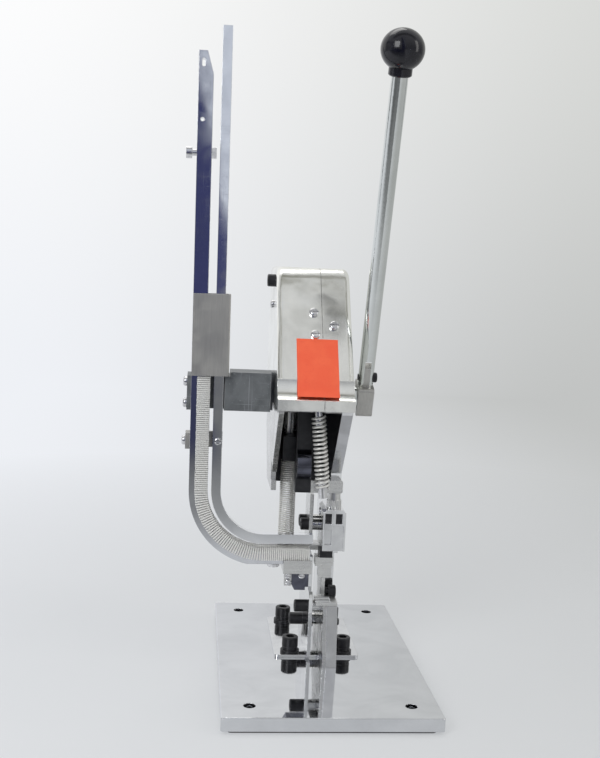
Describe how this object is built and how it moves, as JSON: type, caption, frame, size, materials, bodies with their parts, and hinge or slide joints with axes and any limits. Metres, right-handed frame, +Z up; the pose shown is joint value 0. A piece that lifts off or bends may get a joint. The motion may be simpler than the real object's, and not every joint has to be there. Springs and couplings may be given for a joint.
{
  "type": "bench clip press",
  "caption": "Bench press with a hand lever that drives a ram by rack and pinion, a curved gravity clip magazine and a C-frame on a bolted base plate",
  "frame": {"origin": "middle of the rubber pad's underside", "axes": "+Z up, +X to the operator's right, -Y towards the operator"},
  "size_m": [0.1987, 0.255, 0.5046],
  "materials": {
    "chrome": "polished chrome plate",
    "rail_chrome": "mirror chrome plate",
    "grey_steel": "satin ground steel",
    "black_steel": "black oxide",
    "dark_paint": "matte dark grey",
    "clip_metal": "bright drawn wire",
    "spring_wire": "bright spring wire",
    "knob_plastic": "gloss black phenolic",
    "rubber": "matte black sheet"
  },
  "bodies": {
    "frame": {"base_plate": "chrome", "base_pad": "rubber", "foot_plate": "chrome", "base_screws": "black_steel", "spring_washers": "black_steel", "c_frame": "chrome", "frame_screws": "black_steel", "jaw_cheek": "grey_steel", "gate_plate": "chrome", "gate_screws": "black_steel", "gate_spacers": "grey_steel", "die": "grey_steel", "throat_screw": "black_steel", "side_plate": "chrome", "tie_spacers": "grey_steel", "tie_screws": "black_steel", "shaft_bushings": "grey_steel", "cover_left": "chrome", "cover_right": "chrome", "cover_bar": "grey_steel", "cover_screws": "chrome", "rack_guide": "black_steel", "inner_web": "black_steel", "spring_shelf": "grey_steel", "shelf_screws": "black_steel", "spring_pin": "chrome", "magazine_rail": "rail_chrome", "keeper_bar": "rail_chrome", "clip_stick": "clip_metal", "magazine_arm": "dark_paint", "arm_screws": "chrome", "bridge_strap": "grey_steel", "strap_rivet": "chrome", "stop_screw": "chrome", "end_block": "grey_steel", "end_bracket": "dark_paint", "bracket_screws": "chrome", "left_spring": "spring_wire", "right_spring": "spring_wire"},
    "lever": {"lever_shaft": "chrome", "pinion": "grey_steel", "shaft_collar": "chrome", "lever_hub": "grey_steel", "lever_tube": "chrome", "lever_screw": "black_steel", "knob": "knob_plastic"},
    "ram": {"rack_bar": "black_steel", "crosshead": "chrome", "stop_bar": "black_steel", "spring_arm": "black_steel", "guide_rod": "chrome", "ram_stud": "chrome", "lock_nut": "chrome", "ram_block": "chrome", "guide_pin": "chrome", "punch_holder": "black_steel", "punch": "grey_steel", "spring_stud": "chrome"},
    "pusher": {"pusher_weight": "grey_steel", "pusher_shoe": "grey_steel"}
  },
  "joints": [
    {"name": "lever_turn", "type": "hinge", "parent": "frame", "child": "lever", "pos_m": [0, 0.006, 0.224], "axis": [1, 0, 0], "range_deg": [0, 70], "stiffness_Nm_per_rad": 0.7, "springref_deg": -42.97},
    {"name": "ram_slide", "type": "slide", "parent": "frame", "child": "ram", "axis": [0, 0, 1], "range_m": [-0.0196, 0], "deforming": ["left_spring", "right_spring"]},
    {"name": "pusher_slide", "type": "slide", "parent": "frame", "child": "pusher", "axis": [-0.0105, 0, 0.9999], "range_m": [0, 0.1]}
  ],
  "couplings": [
    {"joint": "ram_slide", "follows": "lever_turn", "m_per_rad": -0.016}
  ]
}
